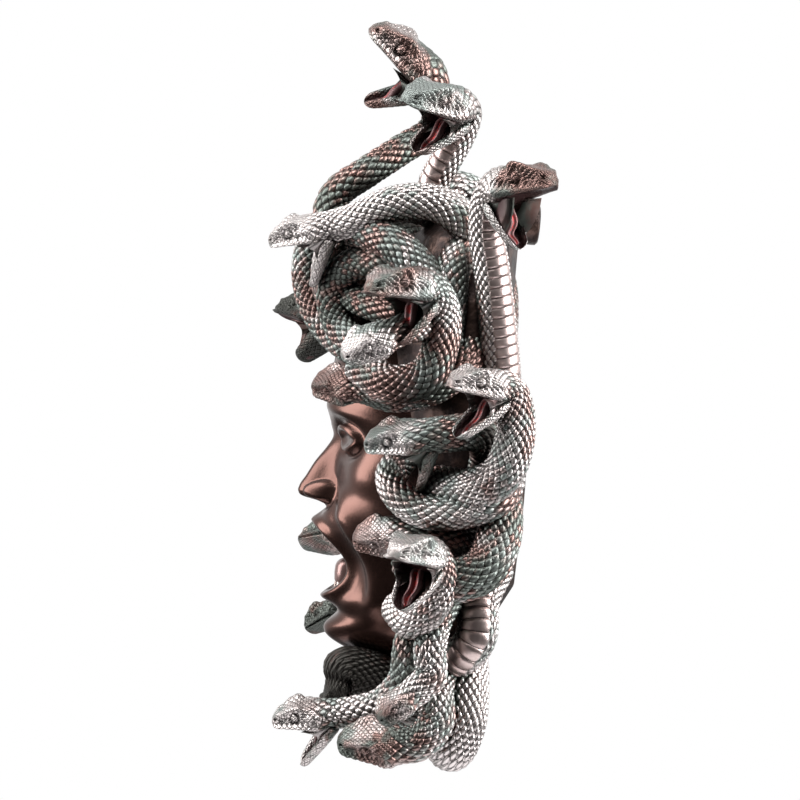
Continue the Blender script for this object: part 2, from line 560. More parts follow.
def body_and_skull(surface, s, spacing):
    """One sweep from root to snout. The body is round; along the head the half-width, height and
    depth follow the skull tables to a rounded snout, and an open mouth's palate is arched."""
    r0, r1 = s["r"]
    points = list(s["route"])
    head = girth = 0
    if "tip" in s:
        base, tip = np.array(points[-1], float), np.array(s["tip"], float)
        head = np.linalg.norm(tip - base)
        girth = (head + MIDDLING_HEAD) / 2
        points += [(base + tip) / 2, tip]
    gaping = head > 0 and s["gape"] > OPEN_GAPE
    dist, at, along, side, back = even_frames(smooth_route(points), spacing, s["up"])
    body = dist[-1] - head
    columns = int(round(2 * math.pi * max(r0, r1) / spacing / 4)) * 4
    turn, fold = round_section(columns)
    c, k = np.cos(np.radians(turn[:-1])), np.sin(np.radians(turn[:-1]))
    f = fold[None, :-1]
    radius = r0 + (r1 - r0) * np.clip(dist / body, 0, 1)
    wide, high, deep = radius.copy(), radius.copy(), radius.copy()
    h = np.zeros_like(dist)
    if head:
        h = np.clip((dist - body) / head, 0, 1)
        on = dist > body
        start = [(0, r1 / girth)]
        chin = PALATE if gaping else CLOSED_CHIN
        bulk = girth * s.get("bulk", 1)
        wide[on] = bulk * readings([(0, r1 / bulk)] + SKULL_WIDE, h[on])
        high[on] = bulk * readings([(0, r1 / bulk)] + SKULL_HIGH, h[on])
        deep[on] = girth * readings(start + chin, h[on])
        for size in (wide, high, deep):
            for _ in range(4):
                size[1:-1] = (size[:-2] + 2 * size[1:-1] + size[2:]) / 4
            size *= rounded_end(h, SNOUT_START)
    else:
        wide[-1] = high[-1] = deep[-1] = 0
    wide[0] = high[0] = deep[0] = 0
    h = h[:, None]
    boxy = 1 - SKULL_BOXINESS * step(h, 0.1, 0.4)
    rise, breadth = PALATE_ARCH
    arch = 1 - rise * bump(c, 0, breadth) * step(h, 0.28, 0.5) if gaping else 1
    x = wide[:, None] * np.sign(c) * np.abs(c) ** boxy
    y = np.where(k > 0, high[:, None], deep[:, None] * arch) * np.sign(k) * np.abs(k) ** boxy
    width = s.get("scale", SCALE_WIDTH)
    scales = int(round(math.pi * (r0 + r1) / width / 2)) * 2
    pitch = math.pi * (r0 + r1) / scales * SCALE_STRETCH
    u = turn[None, :] / 360 * scales + 0 * dist[:, None]
    v = dist[:, None] / pitch + 0 * turn[None, :]
    edge = s.get("belly", BELLY_EDGE)
    belly = step(-fold[None, :], edge - 5, edge + 5) * np.ones_like(dist)[:, None]
    on_head = step(h, 0.12, 0.45)
    raised = SCALE_RELIEF * (scale_relief(u, v, belly)[:, :-1] - 0.5) * (1 - 0.85 * on_head)
    detail = head_detail(h, f, head, girth, not gaping) if head else 0 * raised
    raised = raised + girth * detail
    raised = raised * np.minimum(1, wide / max(r0, r1) * 2)[:, None]
    flat = side[:, None] * x[..., None] + back[:, None] * y[..., None]
    p = at[:, None] + flat + unit(flat) * raised[..., None]
    lining = step(h, 0.22, 0.32) * step(-f, 30, 42) if gaping else 0 * on_head
    surface.grid(
        p,
        np.stack([u, v], -1),
        belly=belly[:, :-1] * (1 - on_head),
        head=on_head + 0 * f,
        lining=lining,
        shade=0.5 + np.clip(detail / FULL_WEAR, -0.5, 0.5) + 0 * f,
    )
    return head, girth, pitch


def lower_jaw(surface, s, head, girth, pitch, spacing):
    """A scoop with a rounded tip: each section is a crescent, its outside a half ellipse and its
    inside a shallower one, turned down by the gape about the hinge."""
    base, tip = np.array(s["route"][-1], float), np.array(s["tip"], float)
    t = unit(tip - base)
    b = np.array(s["up"], float)
    b = unit(b - t * (b @ t))
    side = np.cross(t, b)
    g = math.radians(s["gape"])
    along, back = t * math.cos(g) - b * math.sin(g), b * math.cos(g) + t * math.sin(g)
    hinge = base + head * (t * HINGE[0] + b * HINGE[1])
    length = s["jaw"] * head
    k = np.sin(np.linspace(0, math.pi / 2, max(10, int(1.4 * length / spacing))))
    turn, fold = round_section(int(round(math.pi * JAW_RADIUS * girth / spacing / 2)) * 4)
    c, n = np.cos(np.radians(turn[:-1])), np.sin(np.radians(turn[:-1]))
    f = fold[None, :-1]
    end = rounded_end(k, JAW_TIP_START)
    wide, deep, scoop = (
        (girth * readings(table, k) * end)[:, None] for table in (JAW_WIDE, JAW_DEEP, JAW_SCOOP)
    )
    wide[0] = deep[0] = scoop[0] = 0
    x = wide * np.sign(c) * np.abs(c) ** 0.8 * np.where(n > 0, JAW_INSIDE, 1)
    y = np.where(n > 0, -scoop * np.abs(n) ** 0.6, -deep * np.abs(n) ** 0.8)
    k = k[:, None]
    rim = bump(f, 0, 15) * step(k, 0, 0.2)
    y = y + girth * JAW_RIM * rim * end[:, None]
    u = turn[None, :] / 360 * JAW_SCALES + 0 * k
    v = k * length / pitch + 0 * turn[None, :]
    raised = SCALE_RELIEF * 0.5 * (scale_relief(u, v, 0)[:, :-1] - 0.6) * (n < 0) * (1 - k**6)
    y = y - raised * (wide > 0)
    p = hinge + along * (k * length)[..., None] + side * x[..., None] + back * y[..., None]
    inside = step(f, 8, 20) * (n > 0) * np.ones_like(k)
    surface.grid(
        p,
        np.stack([u, v], -1),
        lining=inside,
        head=0.6 + 0 * x,
        shade=0.4 + 0.6 * bump(f, 2, 18) * step(k, 0, 0.3),
    )
    return t, b, side, hinge, g


def mouth(surface, s, head, girth, t, b, side, hinge, g, spacing):
    """The inside of an open mouth. Skin: a fan of sections about the hinge from the palate down to
    the jaw, each a U that reaches forward at its two sides, least in the middle of the gape.
    Tongue: a ribbon down the throat and along the jaw, with a red cleft between two ridges."""
    rows, half = WEB_GRID
    k = np.linspace(-0.04, 1.03, rows)[:, None]
    x = np.concatenate([np.linspace(-1, 1, 2 * half), np.linspace(1, -1, half)])[None]
    front = (np.arange(3 * half) < 2 * half)[None]
    slack = WEB_ROOT - s.get("web", WEB)
    free = WEB_ROOT - slack * np.sqrt(np.clip(1 - (2 * k - 1) ** 2, 0, 1))
    wall = THROAT + (free - THROAT) * np.abs(x) ** 6
    reach = np.where(front, wall, -THROAT) * head
    share = np.clip(k, 0, 1)
    at_skull = readings(SKULL_WIDE, HINGE[0] + reach / head)
    at_jaw = readings(JAW_WIDE, reach / head / s["jaw"])
    wide = girth * WEB_WIDTH[0] * (at_skull + (at_jaw - at_skull) * share)
    angle = g * k
    way = t * np.cos(angle)[..., None] - b * np.sin(angle)[..., None]
    x = x * np.where(front, 1, WEB_WIDTH[1])
    p = hinge + way * reach[..., None] + side * (x * wide)[..., None]
    p[0], p[-1] = p[0].mean(0), p[-1].mean(0)
    inner = front * (1 - step(np.abs(x), 0.9, 1)) * np.ones_like(k)
    surface.grid(
        p,
        np.zeros((rows, 3 * half + 1, 2)),
        lining=inner,
        head=1 + 0 * inner,
        shade=0.75 + 0 * x * k,
    )

    def place(turned, far, above=0.0):
        way = t * math.cos(g * turned) - b * math.sin(g * turned)
        return hinge + head * far * way + girth * above * (b * math.cos(g) + t * math.sin(g))

    route = [place(*row) for row in TONGUE_ROUTE]
    route.append(place(1, 0.5 * s["jaw"] + 0.1, TONGUE_LOW))
    route.append(place(1, 0.9 * s["jaw"], TONGUE_LOW * 0.6))
    back = b * math.cos(g) + t * math.sin(g)
    dist, at, _, _, up = even_frames(smooth_route(route, 20), spacing, back)
    turn, _ = round_section(TONGUE_COLUMNS)
    k = (dist / dist[-1])[:, None]
    c, n = np.cos(np.radians(turn[:-1])), np.sin(np.radians(turn[:-1]))
    size = girth * TONGUE_WIDTH * np.sqrt(np.clip(1 - (2 * k - 1) ** 6, 0, 1)) * (1 - 0.3 * k)
    wave = girth * TONGUE_WAVE[0] * np.sin(k * TONGUE_WAVE[1])
    x = size * c + wave * (size > 0)
    y = size * (n * 0.7 - TONGUE_CLEFT[0] * bump(c, 0, TONGUE_CLEFT[1]) * (n > 0))
    p = at[:, None] + side * x[..., None] + up[:, None] * y[..., None]
    p[0], p[-1] = p[0].mean(0), p[-1].mean(0)
    red = bump(c, 0, 0.32) * (n > 0) * np.ones_like(k)
    uv = np.zeros((len(dist), TONGUE_COLUMNS + 1, 2))
    surface.grid(p, uv, lining=1 + 0 * red, head=2 + 0 * red, shade=red)


def snake(name, s, spacing, material):
    """One snake: its body and skull in one sweep, and the jaw and mouth of an open head."""
    surface = Surface()
    head, girth, pitch = body_and_skull(surface, s, spacing)
    if head and s["gape"] > OPEN_GAPE:
        place = lower_jaw(surface, s, head, girth, pitch, spacing)
        mouth(surface, s, head, girth, *place, spacing)
    return surface.piece(name, material, s.get("worn", (1, 1)))


def far_side(s, by):
    """The mirror image of a snake, shifted: X changes its sign, then the shift is added."""
    turned = dict(s, route=[[by[0] - x, y + by[1], z + by[2]] for x, y, z in s["route"]])
    turned["up"] = [-s["up"][0], s["up"][1], s["up"][2]]
    if "tip" in s:
        turned["tip"] = [by[0] - s["tip"][0], s["tip"][1] + by[1], s["tip"][2] + by[2]]
    return turned


# The face
THIRD = 36
EYE_WIDTH = 20
JAW_DROP = 24
BROW = -88
NOSE_BASE = BROW - THIRD
LIPS = NOSE_BASE - THIRD / 3
CHIN = NOSE_BASE - THIRD - JAW_DROP
MOUTH_MIDDLE = LIPS - JAW_DROP / 2
MOUTH_HALF = (15, 2 + JAW_DROP / 2)
MOUTH_DEPTH = 20
LIP_HEIGHT = 3.4

# By height: how far the face's centre line stands from the wall, its half-width, how far the
# straight nose stands out of it, the nose's half-width, and how far out the fold beside the mouth
# runs.
CENTRE_LINE = [
    (BROW + 64, 78), (BROW + THIRD, 84), (BROW + 8, 86), (BROW, 85), (BROW - 6, 82),
    (NOSE_BASE + 18, 80.5), (NOSE_BASE + 5, 82), (NOSE_BASE, 84), (NOSE_BASE - 5, 86.5),
    (LIPS + 2, 86), (MOUTH_MIDDLE, 80), (CHIN + 24, 80), (CHIN + 19, 80), (CHIN + 13, 77),
    (CHIN + 6, 78), (CHIN, 74), (CHIN - 6, 62), (CHIN - 11, 46),
]
HALF_WIDTH = [
    (BROW + 64, 42), (BROW + THIRD, 47), (BROW + 4, 2.5 * EYE_WIDTH),
    (NOSE_BASE + 15, 2.5 * EYE_WIDTH), (NOSE_BASE - 10, 46), (NOSE_BASE - 35, 39),
    (CHIN + 10, 32), (CHIN - 1, 22), (CHIN - 8, 13), (CHIN - 11, 8),
]
NOSE = [
    (BROW, 0), (BROW - 6, 1.5), (BROW - 11, 5), (BROW - 18, 10), (BROW - 24, 13),
    (NOSE_BASE + 7, 15), (NOSE_BASE + 4.5, 14.6), (NOSE_BASE + 2.4, 11.6), (NOSE_BASE + 0.6, 3),
    (NOSE_BASE - 1, 0.4), (NOSE_BASE - 3, 0),
]
NOSE_WIDTH = [
    (BROW, 5.4), (BROW - 12, 5.4), (BROW - 20, 6.2), (NOSE_BASE + 7, 7.4), (NOSE_BASE, 7.6),
]
FOLD = [
    (NOSE_BASE + 8, 13), (NOSE_BASE + 3, 18), (NOSE_BASE - 6, 23.5), (MOUTH_MIDDLE, 27.5),
    (CHIN + 26, 27), (CHIN + 17, 24), (CHIN + 9, 18),
]
# A wing of the nose: how far out its middle is, how high, and its half-width and half-height
NOSE_WING = (EYE_WIDTH * 0.4, NOSE_BASE + 5.4, 4.2, 5.4)
WING_HEIGHT = 4.8
WING_GROOVE = (8, 12)  # how far out the groove round a wing begins and is whole
FACE_SIDE = 28  # where the cheeks run into the hair, from the wall
FACE_ROUNDNESS = (2.2, 0.62)  # powers of the fall from the centre line to the sides
BROW_RIDGE = (3.4, EYE_WIDTH + 1, 15, BROW + 6, 4.5)  # read as the soft forms below
BROW_DIP = 0.12  # how far the ridge dips for each millimetre outwards
FOLD_RIDGE = (3, 5, 6)  # height, how far outside the fold's line, and width
FOLD_GROOVE = (1.8, 1.5, 4)  # depth, how far inside the line, and width
UNDER_CHIN = (181, 188)  # how far below the origin the face grows dark under the chin
FACE_ROOT = 38  # how far forward of the wall the face's sheet closes, inside the head
EYE_MIDDLE = (EYE_WIDTH, BROW - 7)
EYE_HALF = (EYE_WIDTH / 2, 7)
EYEBALL = 5.5  # how far the eyeball stands out of its socket
LIDS = (4.6, 3.6)  # how far the upper lid runs above the eye's middle, and the lower below it
# Soft forms of the face: how far each stands out, its place and width across the face, and its
# place and width by height. A minus makes a hollow.
FACE_BELLS = {
    "eye socket": (-7.5, EYE_WIDTH - 2, 10, BROW - 6, 7),
    "hollow between the brows": (-2, 0, 3, BROW + 10, 7),
    "cheekbone": (3.6, 1.7 * EYE_WIDTH, 11, NOSE_BASE + 14, 9),
    "nostril": (-3, 5, 2.1, NOSE_BASE - 0.2, 1.7),
    "hollow under the nose": (-1.3, 0, 2.2, NOSE_BASE - 4, 3.5),
    "ridge beside that hollow": (0.6, 4, 1.8, NOSE_BASE - 4, 3.5),
    "corner of the mouth": (-6, MOUTH_HALF[0] + 2, 9, MOUTH_MIDDLE - 3, 13),
    "hollow above the chin": (-1.4, 0, 12, CHIN + 13, 3),
    "chin": (3.2, 0, 11, CHIN + 4, 6),
}
# Heights where the rows of the face change their spacing, and the rows down to each from above
FACE_LEVELS = [
    (BROW + 64, 1), (BROW + 8, 60), (NOSE_BASE + 10, 60), (LIPS - 2, 76), (CHIN + 14, 74),
    (CHIN - 11, 44),
]


def mouth_distance(a, z):
    """1 on the outline of the mouth opening, less inside: a rounded oval of power 2.4."""
    across, up = a / MOUTH_HALF[0], np.abs(z - MOUTH_MIDDLE) / MOUTH_HALF[1]
    return (across**2.4 + up**2.4) ** (1 / 2.4)


def eye_relief(a, z):
    """The eyeball, half of an ellipsoid, and the lids: ridges along the parabolas that cross at the
    eye's two corners."""
    x, middle = EYE_MIDDLE
    across = (a - x) / EYE_HALF[0]
    d = EYEBALL * np.sqrt(np.maximum(0, 1 - across**2 - ((z - middle) / EYE_HALF[1]) ** 2))
    upper = middle + LIDS[0] * (1 - across**2)
    lower = middle - LIDS[1] * (1 - across**2)
    lid = step(a, x - 11.5, x - 7) * (1 - step(a, x + 7, x + 12))
    d += lid * (2 * bump(z, upper + 0.5, 1.9) - 1.3 * bump(z, upper + 4, 1.5))
    return d + lid * (1.1 * bump(z, lower - 0.4, 1.5) - 0.7 * bump(z, lower - 3.6, 2))


def nose_relief(a, z):
    """The ridge, a bell across whose height and width are read by height; the wings, domes; and
    the groove round the outside of each wing."""
    d = readings(NOSE, z, True) * np.exp(-((a / readings(NOSE_WIDTH, z, True)) ** 2))
    x, middle, across, up = NOSE_WING
    wing = np.hypot((a - x) / across, (z - middle) / up)
    groove = bump(wing, 1.3, 0.3) * step(a, *WING_GROOVE)
    return d + WING_HEIGHT * np.maximum(0, 1 - wing**2) ** 0.6 - 1.2 * groove


def lip_relief(a, z):
    """The rolled rim of both lips, with a groove outside it, and the opening of the mouth."""
    e = mouth_distance(a, z)
    rim = LIP_HEIGHT * bump(e, 1.18, 0.17) - 0.8 * bump(e, 1.52, 0.14) * step(-a, -12, -4)
    return rim - MOUTH_DEPTH * step(1.05 - e, 0, 0.24)


def face_depth(x, z):
    """How far the face stands from the wall. A rounded base runs from the centre line, read by
    height, back to the sides. Added to it are the soft forms, each the product of two bells, the
    eyes, nose and lips, the brow ridge, a bell that dips outwards, and the fold from the nose to
    beside the mouth, a ridge with a groove inside it."""
    a = np.abs(x)
    w = readings(HALF_WIDTH, z, True)
    middle = readings(CENTRE_LINE, z, True)
    fall, soft = FACE_ROUNDNESS
    d = FACE_SIDE + (middle - FACE_SIDE) * np.maximum(0, 1 - (a / w) ** fall) ** soft
    height, place, width, level, tall = BROW_RIDGE
    d += height * bump(a, place, width) * bump(z, level - BROW_DIP * (a - EYE_WIDTH), tall)
    for height, place, width, level, tall in FACE_BELLS.values():
        d += height * bump(a, place, width) * bump(z, level, tall)
    d += eye_relief(a, z) + nose_relief(a, z) + lip_relief(a, z)
    fold = readings(FOLD, z, True)
    along = step(-z, -NOSE_BASE - 10, -NOSE_BASE + 4) * (1 - step(-z, -CHIN - 26, -CHIN - 8))
    ridge = FOLD_RIDGE[0] * bump(a, fold + FOLD_RIDGE[1], FOLD_RIDGE[2])
    return d + along * (ridge - FOLD_GROOVE[0] * bump(a, fold - FOLD_GROOVE[1], FOLD_GROOVE[2]))


def face(material):
    """A closed sheet: across the face the columns turn from side to side, so that they crowd
    where the cheeks fall away; each row closes behind, inside the head."""
    surface = Surface()
    levels = zip(FACE_LEVELS, FACE_LEVELS[1:])
    z = np.concatenate([np.linspace(a[0], b[0], b[1], endpoint=False) for a, b in levels])
    z = np.append(z, FACE_LEVELS[-1][0])[:, None]
    turn = math.pi * 0.49 * np.linspace(-1, 1, FACE_COLUMNS)[None]
    w = readings(HALF_WIDTH, z, True)
    x = w * np.sin(turn)
    front = np.stack([x, -face_depth(x, z), z + 0 * x], -1)
    behind = [
        np.stack([k * w[:, 0], 0 * z[:, 0] - FACE_ROOT, z[:, 0]], -1)[:, None] for k in (0.9, -0.9)
    ]
    p = np.concatenate([front, *behind], 1)
    p[0], p[-1] = [0, -FACE_ROOT, z[0, 0]], [0, -FACE_ROOT, z[-1, 0]]
    e = mouth_distance(np.abs(p[..., 0]), p[..., 2])
    inside = (1 - step(e, 0.84, 1.0)) * (p[..., 1] < -40)
    under = step(-p[..., 2], *UNDER_CHIN)
    uv = np.zeros((len(z), p.shape[1] + 1, 2))
    surface.grid(p, uv, lining=inside, head=under)
    return surface.piece("face", material)


TEETH_IN_ARCH = 8
CANINES = (1, 6)
CANINE_LENGTH = 1.25  # of the other teeth's
TOOTH_HALF = (1.9, 1.8)
# Side of the mouth, half-height of a tooth, depth of the front teeth and half-width of the arch
UPPER_ARCH = (1, 4, 83, 12)
LOWER_ARCH = (-1, 3, 76, 11)
ARCH_SWEEP = 140  # degrees
ARCH_DEPTH = 14
TONGUE_MIDDLE = (0, -64, MOUTH_MIDDLE - 6)
TONGUE_HALF = (9, 14, 7.5)
BLOCK_ROWS, BLOCK_COLUMNS = 15, 20


def block(surface, middle, half, turn, shade=0):
    """A rounded block, turned about the upright: the superellipsoid whose sines and cosines are
    raised to the power 0.6."""
    a = np.linspace(0, 2 * math.pi, BLOCK_COLUMNS + 1)[:-1][None]
    b = np.linspace(-math.pi / 2, math.pi / 2, BLOCK_ROWS)[:, None]

    def soft(v):
        return np.sign(v) * np.abs(v) ** 0.6

    ring = soft(np.cos(b))
    ring[0] = ring[-1] = 0
    x, y = half[0] * ring * soft(np.cos(a)), half[1] * ring * soft(np.sin(a))
    z = half[2] * soft(np.sin(b)) + 0 * a
    c, k = math.cos(turn), math.sin(turn)
    p = np.stack([x * c + y * k, y * c - x * k, z], -1) + np.array(middle)
    uv = np.zeros((BLOCK_ROWS, BLOCK_COLUMNS + 1, 2))
    surface.grid(p, uv, shade=shade + 0 * x)


def teeth(material):
    """Two arches of teeth inside the lips, each tooth a rounded block on an ellipse, turned along
    it, and the tongue behind them."""
    surface = Surface()
    for sign, height, front, arch in UPPER_ARCH, LOWER_ARCH:
        for n in range(TEETH_IN_ARCH):
            turn = math.radians(((n + 0.5) / TEETH_IN_ARCH - 0.5) * ARCH_SWEEP)
            x = arch * math.sin(turn)
            y = ARCH_DEPTH - front - ARCH_DEPTH * math.cos(turn)
            z = MOUTH_MIDDLE + sign * (MOUTH_HALF[1] * (1 - 0.16 * (x / arch) ** 2) - 0.6 * height)
            long = height * (CANINE_LENGTH if n in CANINES and sign > 0 else 1)
            block(surface, (x, y, z), (*TOOTH_HALF, long), turn)
    block(surface, TONGUE_MIDDLE, TONGUE_HALF, 0, shade=1)
    return surface.piece("teeth_and_tongue", material)


# The head behind the snakes, by height: greatest half-width, half-width of the flat back, depth of
# the front from the wall, and how far the back stands off the wall.
HEAD = [
    [18, 12, 6, 18, 9],
    [14, 28, 11, 34, 9],
    [6, 44, 13, 46, 9],
    [-6, 54, 14, 57, 9],
    [-34, 62, 20, 68, 9.5],
    [-64, 64, 26, 64, 9],
    [-73, 66, 48, 62, 0],
    [-114, 64, 50, 54, 0],
    [-150, 56, 42, 46, 1],
    [-168, 50, 26, 42, 9],
    [-192, 40, 22, 38, 12],
    [-212, 30, 16, 32, 14],
    [-220, 16, 8, 24, 17],
]
BACK_ROUNDING = 14
HEAD_GRID = (200, 60, 81)  # rows, and columns in front and behind
BOSS_COLUMNS = 48
HOLLOW = {"half_width": 38, "half_height": 68, "depth": 34, "middle": -116, "edge": 0.12}
NAIL_SOCKET = {"radius": 4, "depth": 12, "middle": 9}
BOSS = {"half_width": 14, "half_height": 9, "depth": 16, "middle": 6}


def head_mass(material):
    """A closed stack of sections: a half oval in front, from side to side, and the back, flat but
    for the oval hollow. On the upper back an oval boss reaches the wall: rings that shrink from its
    outline to the nail socket, then down the socket to its floor."""
    surface = Surface()
    rows, before, behind = HEAD_GRID
    z = np.linspace(HEAD[0][0], HEAD[-1][0], rows)[:, None]
    wide, flat, deep, off = (readings([(row[0], row[k]) for row in HEAD], z) for k in (1, 2, 3, 4))
    bulge = np.minimum(BACK_ROUNDING, (deep - off) * 0.45)
    turn = np.linspace(0, math.pi, before)[None]
    x = wide * np.cos(turn)
    y = -(off + bulge + (deep - off - bulge) * np.sin(turn) ** 0.8)
    front = np.stack([x, y, z + 0 * x], -1)
    x = flat * np.linspace(-1, 1, behind)[None]
    oval = np.hypot(x / HOLLOW["half_width"], (z - HOLLOW["middle"]) / HOLLOW["half_height"])
    y = np.minimum(-off, -HOLLOW["depth"] * step(1 - oval, 0, HOLLOW["edge"]))
    p = np.concatenate([front, np.stack([x, y, z + 0 * x], -1)], 1)
    p[0], p[-1] = p[0].mean(0), p[-1].mean(0)
    surface.grid(p, np.zeros((rows, p.shape[1] + 1, 2)))
    middle, rim = NAIL_SOCKET["middle"], NAIL_SOCKET["radius"]
    outer = (BOSS["half_width"], BOSS["half_height"], BOSS["middle"])
    rings = [(0, 0, BOSS["middle"], -BOSS["depth"]), (*outer, -BOSS["depth"]), (*outer, -1)]
    rings += [(outer[0] - 1, outer[1] - 1, outer[2], 0), (rim + 0.6, rim + 0.6, middle, 0)]
    rings += [(rim, rim, middle, -0.6), (rim, rim, middle, -NAIL_SOCKET["depth"])]
    rings.append((0, 0, middle, -NAIL_SOCKET["depth"]))
    across, up, centre, depth = (np.array(rings)[:, k, None] for k in range(4))
    turn = np.linspace(0, 2 * math.pi, BOSS_COLUMNS + 1)[:-1][None]
    p = np.stack([across * np.cos(turn), depth + 0 * turn, centre + up * np.sin(turn)], -1)
    surface.grid(p, np.zeros((len(rings), BOSS_COLUMNS + 1, 2)))
    return surface.piece("head", material)


# Materials
class Nodes:
    """A material's node tree, with short calls for the nodes that the patterns need."""

    def __init__(self, name):
        self.material = bpy.data.materials.new(name)
        self.material.use_nodes = True
        self.tree = self.material.node_tree
        self.shader = self.tree.nodes["Principled BSDF"]

    def put(self, socket, value):
        if isinstance(value, bpy.types.NodeSocket):
            self.tree.links.new(value, socket)
        else:
            socket.default_value = value

    def math(self, how, *values, clamp=False):
        node = self.tree.nodes.new("ShaderNodeMath")
        node.operation = how
        node.use_clamp = clamp
        for socket, value in zip(node.inputs, values):
            self.put(socket, value)
        return node.outputs[0]

    def times(self, *values, clamp=False):
        out = values[0]
        for value in values[1:]:
            out = self.math("MULTIPLY", out, value, clamp=clamp)
        return out

    def rest(self, value):
        return self.math("SUBTRACT", 1.0, value)

    def between(self, value, low, high):
        """0 below low, 1 above high, eased between."""
        node = self.tree.nodes.new("ShaderNodeMapRange")
        node.interpolation_type = "SMOOTHSTEP"
        for k, v in enumerate((value, low, high)):
            self.put(node.inputs[k], v)
        return node.outputs[0]

    def blend(self, share, first, second):
        node = self.tree.nodes.new("ShaderNodeMix")
        node.data_type = "RGBA"
        self.put(node.inputs[0], share)
        self.put(node.inputs[6], first)
        self.put(node.inputs[7], second)
        return node.outputs[2]

    def value(self, name):
        node = self.tree.nodes.new("ShaderNodeAttribute")
        node.attribute_name = name
        return node.outputs["Fac"]

    def noise(self, size, detail=3.0, rough=0.55):
        """Noise on Object coordinates, its pattern about `size` metres across."""
        place = self.tree.nodes.new("ShaderNodeTexCoord")
        node = self.tree.nodes.new("ShaderNodeTexNoise")
        self.put(node.inputs["Vector"], place.outputs["Object"])
        for name, value in (("Scale", 1 / size), ("Detail", detail), ("Roughness", rough)):
            self.put(node.inputs[name], value)
        return node.outputs["Fac"]

    def relief(self, height, depth):
        node = self.tree.nodes.new("ShaderNodeBump")
        self.put(node.inputs["Strength"], 1.0)
        self.put(node.inputs["Distance"], depth)
        self.put(node.inputs["Height"], height)
        self.put(self.shader.inputs["Normal"], node.outputs[0])

    def mixed(self, share, first, second):
        return self.math("ADD", first, self.times(share, self.math("SUBTRACT", second, first)))

    def scales(self, fineness=1):
        """The scale pattern of scale_relief, from the UV map and the belly value: its height, how
        deep in the gap between scales a point is, and a chance value for each scale."""
        uv = self.tree.nodes.new("ShaderNodeUVMap")
        uv.uv_map = "UVMap"
        split = self.tree.nodes.new("ShaderNodeSeparateXYZ")
        self.put(split.inputs[0], uv.outputs[0])
        u, v = (self.times(split.outputs[k], fineness) for k in (0, 1))

        def off_middle(position, power):
            off = self.math("ABSOLUTE", self.math("SUBTRACT", self.math("FRACT", position), 0.5))
            return self.math("POWER", self.math("MULTIPLY", off, 2.0), power)

        a, b = self.math("ADD", u, v), self.math("SUBTRACT", u, v)
        tilt = self.math("SUBTRACT", self.math("FRACT", a), self.math("FRACT", b))
        n = SCALE_SQUARENESS
        off = self.math("ADD", off_middle(a, n), off_middle(b, n))
        dome = self.math("MAXIMUM", self.rest(self.math("POWER", off, SCALE_DOME / n)), 0.0)
        lozenge = self.times(dome, self.rest(self.times(tilt, SCALE_TILT)))
        lean = self.math("SUBTRACT", self.math("FRACT", v), 0.5)
        plate = self.times(self.rest(off_middle(v, 6.0)), self.rest(self.times(lean, PLATE_TILT)))
        belly = self.value("belly")
        height = self.mixed(belly, lozenge, plate)
        # The gap is darkest where a scale's free end lies over the next one, nearer the head.
        gap = self.between(self.math("POWER", off, 1 / n), 0.74, 1.0)
        lapped = self.times(self.between(tilt, -0.2, 0.7), 0.7)
        shut = self.times(gap, self.math("ADD", 0.3, lapped))
        plate_gap = self.between(off_middle(v, 1.0), 0.72, 1.0)
        shut = self.mixed(belly, shut, self.times(plate_gap, self.between(lean, -0.3, 0.4)))
        cell = self.tree.nodes.new("ShaderNodeCombineXYZ")
        self.put(cell.inputs[0], self.math("FLOOR", a))
        self.put(cell.inputs[1], self.math("FLOOR", b))
        chance = self.tree.nodes.new("ShaderNodeTexWhiteNoise")
        self.put(chance.inputs["Vector"], cell.outputs[0])
        return height, shut, chance.outputs["Value"]


GROOVE = (0.02, 0.013, 0.012, 1)
BROWN = (0.18, 0.098, 0.082, 1)
SILVER = (0.56, 0.515, 0.5, 1)
COPPER = (0.5, 0.37, 0.345, 1)
PATINA = (0.105, 0.165, 0.15, 1)
MOUTH_DARK = (0.05, 0.022, 0.022, 1)
TONGUE = (0.12, 0.065, 0.065, 1)
RED = (0.5, 0.02, 0.02, 1)
FACE_BRONZE = (0.09, 0.047, 0.038, 1)
FACE_DARK = (0.04, 0.02, 0.016, 1)
TOOTH = (0.33, 0.26, 0.235, 1)
FACE_TONGUE = (0.2, 0.12, 0.11, 1)
GROUND_BROWN = (0.085, 0.052, 0.042, 1)
PALE_FLOOR = (0.85, 0.84, 0.86, 1)

RUBBED = (0.36, 0.6)  # values of the rubbed patches where silver begins and is whole
GREENED = (0.46, 0.62)  # values of the patina's blotches, likewise
PATINA_COVER = 0.68
DARKEST = 0.94  # how far the gaps go to black

# Sizes of the patterns of the snakes' bronze, and the depth of its finest relief, in metres
SPECKLE = 0.0011
GRAIN = 0.0024
RUBBED_PATCH = 0.022
PATINA_PATCH = 0.02
FINE_RELIEF = 0.0004


